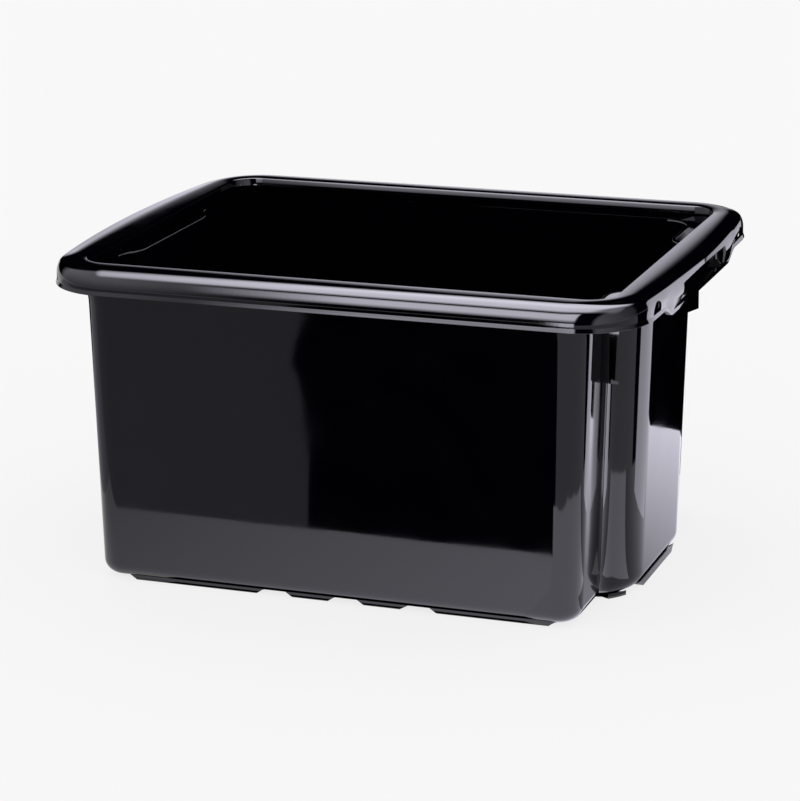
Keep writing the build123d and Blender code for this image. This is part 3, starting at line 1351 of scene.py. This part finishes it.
@dataclass(frozen=True)
class Sheet:
    """A flat studio sheet given by its corners in mm, which only reflections see.

    Where it has a far light, its light runs to that from the edge between its first
    and fourth corner to the edge between its second and third.
    """

    name: str
    corners: tuple[tuple[float, float, float], ...]
    light: float
    far_light: float | None = None
    unseen_by: tuple[str, ...] = ("camera", "diffuse", "transmission", "shadow")

    @classmethod
    def flat(cls, name: str, level: float, plan: Sequence[Span], *light: float) -> "Sheet":
        """A sheet that lies level at a height."""
        return cls(name, tuple((x, y, level) for x, y in plan), *light)

    @classmethod
    def upright(cls, name: str, start: Span, end: Span, rise: Span, *light: float) -> "Sheet":
        """A sheet that stands between two points, from one height to another."""
        foot, head = rise
        return cls(name, ((*start, foot), (*end, foot), (*end, head), (*start, head)), *light)

    def hang(self) -> bpy.types.Object:
        """Put the sheet up.

        Returns:
            The sheet's object.
        """
        mesh = bmesh.new()
        plan_face(mesh, [Vector(corner) * MM for corner in self.corners])
        sheet = put_up(self.name, mesh, self._glow())
        for ray in self.unseen_by:
            setattr(sheet, f"visible_{ray}", False)
        return sheet

    def _glow(self) -> bpy.types.Material:
        """The sheet's light.

        Returns:
            The material.
        """
        made, bench = new_finish(self.name)
        light: dict[str, Any] = {"Color": STUDIO_TINT, "Strength": self.light}
        if self.far_light is not None:
            ends = [Vector(corner) * MM for corner in self.corners[:4]]
            start, stop = (ends[0] + ends[3]) / 2, (ends[1] + ends[2]) / 2
            way = (stop - start) / (stop - start).length_squared
            sockets = {0: bench.place(), 1: way}
            along = bench.node("ShaderNodeVectorMath", {"operation": "DOT_PRODUCT"}, sockets)
            share = (bench.out(along, "Value") - start.dot(way)).ramp(0.0, 1.0)
            level = share * (self.far_light - self.light) + self.light
            light = {"Color": bench.tinted(level), "Strength": 1.0}
        bench.show(bench.node("ShaderNodeEmission", None, light))
        return made


@dataclass(frozen=True)
class SoftBoxes:
    """The light that reflections meet above the floor, by direction.

    Each pair is the span over which a part of the light comes up or goes down. Across
    and along are the direction's x and y over its rise.
    """

    least_rise: float = 0.05
    backdrop: float = 1.1
    backdrop_top: Span = (0.2, 0.31)
    backdrop_tip: float = 0.85
    backdrop_tip_x: float = -0.32
    backdrop_right: Span = (-0.27, -0.17)
    backdrop_near: Span = (-0.1, 0.15)
    roof: float = 10.5
    roof_left: Span = (-0.56, -0.4)
    roof_dip: Span = (0.12, 0.38)
    roof_dip_share: float = 0.7
    roof_right: Span = (0.4, 1.5)
    roof_right_share: float = 0.3
    roof_rear: Span = (0.45, 1.0)
    roof_rear_share: float = 0.5
    roof_corner: Span = (1.0, 1.22)
    roof_rise: Span = (0.1, 0.2)
    roof_front: Span = (-0.38, -0.18)
    front: float = 10.0
    front_left: Span = (-0.4, -0.35)
    front_right: Span = (0.05, 0.09)
    front_near: Span = (-0.55, -0.42)
    front_rise: Span = (0.2, 0.5)
    left: float = 0.6
    left_edge: Span = (-0.42, -0.37)
    left_rear: Span = (0.15, 0.35)
    left_rise: Span = (0.0, 0.7)
    right: float = 1.35
    right_edge: Span = (0.48, 0.58)
    right_rear: Span = (0.2, 0.32)
    right_fade: Span = (-0.8, 0.2)

    def level(self, bench: NodeBench) -> Sock:
        """How bright the light is in a direction.

        Args:
            bench: The world's nodes.

        Returns:
            The brightness.
        """
        split = bench.node("ShaderNodeSeparateXYZ", None, {0: bench.place("Generated")})
        x, y, z = (bench.out(split, axis) for axis in "XYZ")
        lift = z + self.backdrop_tip * (self.backdrop_tip_x - x).larger(0.0)
        backdrop = self.backdrop * (1 - lift.ramp(*self.backdrop_top))
        backdrop = backdrop * (1 - x.ramp(*self.backdrop_right)) * y.ramp(*self.backdrop_near)
        front = self.front * x.ramp(*self.front_left) * (1 - x.ramp(*self.front_right))
        front = front * (1 - y.ramp(*self.front_near)) * z.ramp(*self.front_rise)
        left = (1 - x.ramp(*self.left_edge)) * (1 - y.ramp(*self.left_rear))
        left = left * (self.left + z.ramp(*self.left_rise))
        right = x.ramp(*self.right_edge) * (1 - y.ramp(*self.right_rear))
        right = right * (self.right - y.ramp(*self.right_fade))
        return backdrop + self._roof(x, y, z) + front + left + right

    def _roof(self, x: Sock, y: Sock, z: Sock) -> Sock:
        """The light overhead.

        Args:
            x: The direction's x.
            y: The direction's y.
            z: The direction's rise.

        Returns:
            The brightness.
        """
        across, along = x / z.larger(self.least_rise), y / z.larger(self.least_rise)
        dip = 1 - self.roof_dip_share * across.ramp(*self.roof_dip)
        dip = dip - self.roof_right_share * across.ramp(*self.roof_right)
        rear = 1 - self.roof_rear_share * along.ramp(*self.roof_rear)
        roof = self.roof * across.ramp(*self.roof_left) * dip * rear
        roof = roof * (1 - (across + along).ramp(*self.roof_corner))
        return roof * z.ramp(*self.roof_rise) * y.ramp(*self.roof_front)


@dataclass(frozen=True)
class PaleFloor:
    """Plain pale floor that keeps the box's shadow."""

    name: str = "pale_floor"
    tone: Colour = (0.94, 0.94, 0.94, 1.0)
    glow: float = 0.85

    def material(self) -> bpy.types.Material:
        """Build the floor's material.

        Returns:
            The material.
        """
        made, bench = new_finish(self.name)
        path = bench.node("ShaderNodeLightPath")
        seen = bench.out(path, "Is Camera Ray").larger(bench.out(path, "Is Glossy Ray"))
        seen = seen.larger(bench.out(path, "Is Transmission Ray"))
        lit = bench.node("ShaderNodeBsdfDiffuse", None, {"Color": self.tone})
        glow = bench.node("ShaderNodeEmission", None, {"Color": self.tone, "Strength": 1.0})
        bench.show(bench.blend(seen * self.glow, lit, glow))
        return made


@dataclass
class Studio:
    """Pale floor, even light, reflection sheets and the camera.

    The sheets' heights keep nearer sheets above farther ones. The band is the strip of
    floor before the box, the flank and the end are where the right end's sheets start.
    """

    floor_size: float = 14.0
    floor_drop: float = 0.0002
    azimuth: float = 20.274
    elevation: float = 16.364
    roll: float = -0.0145911
    distance: float = 2.56251
    target: tuple[float, float, float] = (-0.009036, 0.0, 0.125112)
    focal_pixels: float = 3042.45
    frame_height: float = 801.0
    sensor: float = 36.0
    # The first height is that of the black sheet under the base, a painted shadow.
    contact_z: float = 0.4
    near_z: float = 0.3
    middle_z: float = 0.2
    far_z: float = 0.1
    hollow_z: float = 1.5
    rear_z: float = 1.0
    foot: tuple[Span, ...] = ((199, 60), (195, 129), (182, 149), (150, 162))
    band_start: float = -162.0
    band_end: float = -318.0
    band_left: float = -420.0
    band_right: float = 150.0
    room_front: float = -2926.0
    room_side: float = 3000.0
    split_x: float = 172.0
    split_far_x: float = 80.0
    left_y: float = 260.0
    flank_y: float = -60.0
    end_x: float = 200.0
    end_far_x: float = 500.0
    end_y: float = 20.0

    def floor(self) -> bpy.types.Object:
        """Lay the pale floor.

        Returns:
            The floor's object.
        """
        mesh = bmesh.new()
        bmesh.ops.create_grid(mesh, x_segments=1, y_segments=1, size=self.floor_size / 2)
        laid = put_up("studio_floor", mesh, PaleFloor().material())
        laid.location.z = -self.floor_drop
        return laid

    def world(self) -> None:
        """Light the scene evenly, and let the gloss see soft boxes instead."""
        world = bpy.data.worlds.new("studio_world")
        bpy.context.scene.world = world
        world.use_nodes = True
        bench = NodeBench(world.node_tree)
        gloss = bench.out(bench.node("ShaderNodeLightPath"), "Is Glossy Ray")
        white = {"Color": (1.0, 1.0, 1.0, 1.0), "Strength": 1.0}
        boxes = {"Color": bench.tinted(SoftBoxes().level(bench)), "Strength": 1.0}
        plain, seen = (bench.node("ShaderNodeBackground", None, light) for light in (white, boxes))
        bench.show(bench.blend(gloss, plain, seen), "ShaderNodeOutputWorld")

    def sheets(self) -> list[Sheet]:
        """The sheets that the gloss reflects.

        Returns:
            The sheets.
        """
        half = [*self.foot, *((-x, y) for x, y in reversed(self.foot))]
        foot = half + [(x, -y) for x, y in reversed(half)]
        # Painted shadow: a black sheet under the base that only reflections see, in place of the
        # box's shadow on the floor.
        contact = Sheet.flat("contact", self.contact_z, foot, 0.0)
        return [contact, *self._front_sheets(), *self._side_sheets()]

    def _front_sheets(self) -> list[Sheet]:
        """The sheets before the front and its right corner.

        Returns:
            The sheets.
        """
        start, end, left, right = self.band_start, self.band_end, self.band_left, self.band_right
        band = ((left, start), (right, start), (right, end), (left, end))
        bend = (
            (right, start), (right, end), (129, -440), (190, -440), (395, -355), (470, -240),
            (self.end_far_x, self.flank_y), (self.end_x, self.flank_y), (196, -130), (183, -150),
        )
        black = (
            (-92, end), (self.split_x, end), (self.split_far_x, self.room_front),
            (-1072, self.room_front), (-324, -878), (-306, -810), (-282, -746), (-250, -688),
            (-223, -631), (-174, -522), (-133, -420),
        )
        side, front = self.room_side, self.room_front
        grey = ((-side, end), (0, end), (0, front), (-side, front))
        right_grey = (
            (self.split_x, end), (self.split_far_x, front), (side, front), (side, 700),
            (self.end_far_x, self.end_y), (self.end_far_x, self.flank_y),
        )
        return [
            Sheet.flat("front_near", self.near_z, band, 0.7, 1.95),
            Sheet.flat("corner_near", self.near_z, bend, 1.8),
            Sheet.flat("front_black", self.middle_z, black, 0.0),
            Sheet.flat("front_left_grey", self.far_z, grey, 0.36),
            Sheet.flat("front_right_grey", self.middle_z, right_grey, 0.62),
            Sheet.upright("front_card", (-163, -1350), (275, -1390), (0, 420), 8.0),
        ]

    def _side_sheets(self) -> list[Sheet]:
        """The sheets beside the two ends and behind the box.

        Returns:
            The sheets.
        """
        side, left, y = self.room_side, self.band_left, self.left_y
        x, far_x, flank, end_y = self.end_x, self.end_far_x, self.flank_y, self.end_y
        left_grey = ((-side, self.band_end), (-side, y), (left, y), (left, self.band_end))
        left_black = ((-1000, y), (-1000, 1000), (-300, 1000), (-300, y))
        right_black = ((x, end_y), (x, 6000), (4000, 6000), (4000, end_y))
        hollow = ((x, -128), (240, -128), (240, -20), (x, -20))
        right_near = ((x, flank), (x, 366), (far_x, 366), (far_x, flank))
        rear_black = ((-300, 250), (-1750, 4000), (x, 4000), (x, 250))
        return [
            Sheet.flat("left_grey", self.middle_z, left_grey, 0.5),
            Sheet.flat("left_black", self.middle_z, left_black, 0.0),
            Sheet.flat("right_black", self.far_z, right_black, 0.0),
            Sheet.flat("hollow_near", self.hollow_z, hollow, 0.6),
            Sheet.flat("right_near", self.near_z, right_near, 0.5, 2.1),
            Sheet.flat("rear_black", self.rear_z, rear_black, 0.0),
            Sheet.upright("right_card", (290, 98), (430, 38), (0, 330), 1.8, 3.0),
            Sheet.upright("rear_card", (300, 480), (420, 480), (150, 260), 1.2),
        ]

    def camera(self) -> bpy.types.Object:
        """Set up the camera at the photograph's viewing angle.

        Returns:
            The camera.
        """
        turn, rise = radians(self.azimuth), radians(self.elevation)
        back = Vector((sin(turn) * cos(rise), -cos(turn) * cos(rise), sin(rise)))
        level = Vector((cos(turn), sin(turn), 0.0))
        right = cos(self.roll) * level + sin(self.roll) * back.cross(level)
        data = bpy.data.cameras.new("studio_camera")
        data.sensor_fit = "VERTICAL"
        data.sensor_height = self.sensor
        data.lens = self.focal_pixels * self.sensor / self.frame_height
        made = bpy.data.objects.new("studio_camera", data)
        place = Vector(self.target) + back * self.distance
        turned = Matrix((right, back.cross(right), back)).transposed().to_4x4()
        made.matrix_world = Matrix.Translation(place) @ turned
        bpy.context.scene.collection.objects.link(made)
        bpy.context.scene.camera = made
        return made

    def build(self) -> None:
        """Set the whole studio up."""
        bpy.context.scene.view_settings.view_transform = "Standard"
        self.camera()
        self.floor()
        self.world()
        for sheet in self.sheets():
            sheet.hang()


def main() -> None:
    """Build the box and its studio."""
    logging.basicConfig(level=logging.INFO, format="%(message)s")
    bench = Workbench(GlossPlastic().material())
    tub, rim = Tub(), Rim()
    tub.build(bench)
    rim.build(bench)
    Ledges(tub, rim).build(bench)
    NestStops(tub).build(bench)
    FootPads().build(bench)
    Studio().build()


if __name__ == "__main__":
    main()
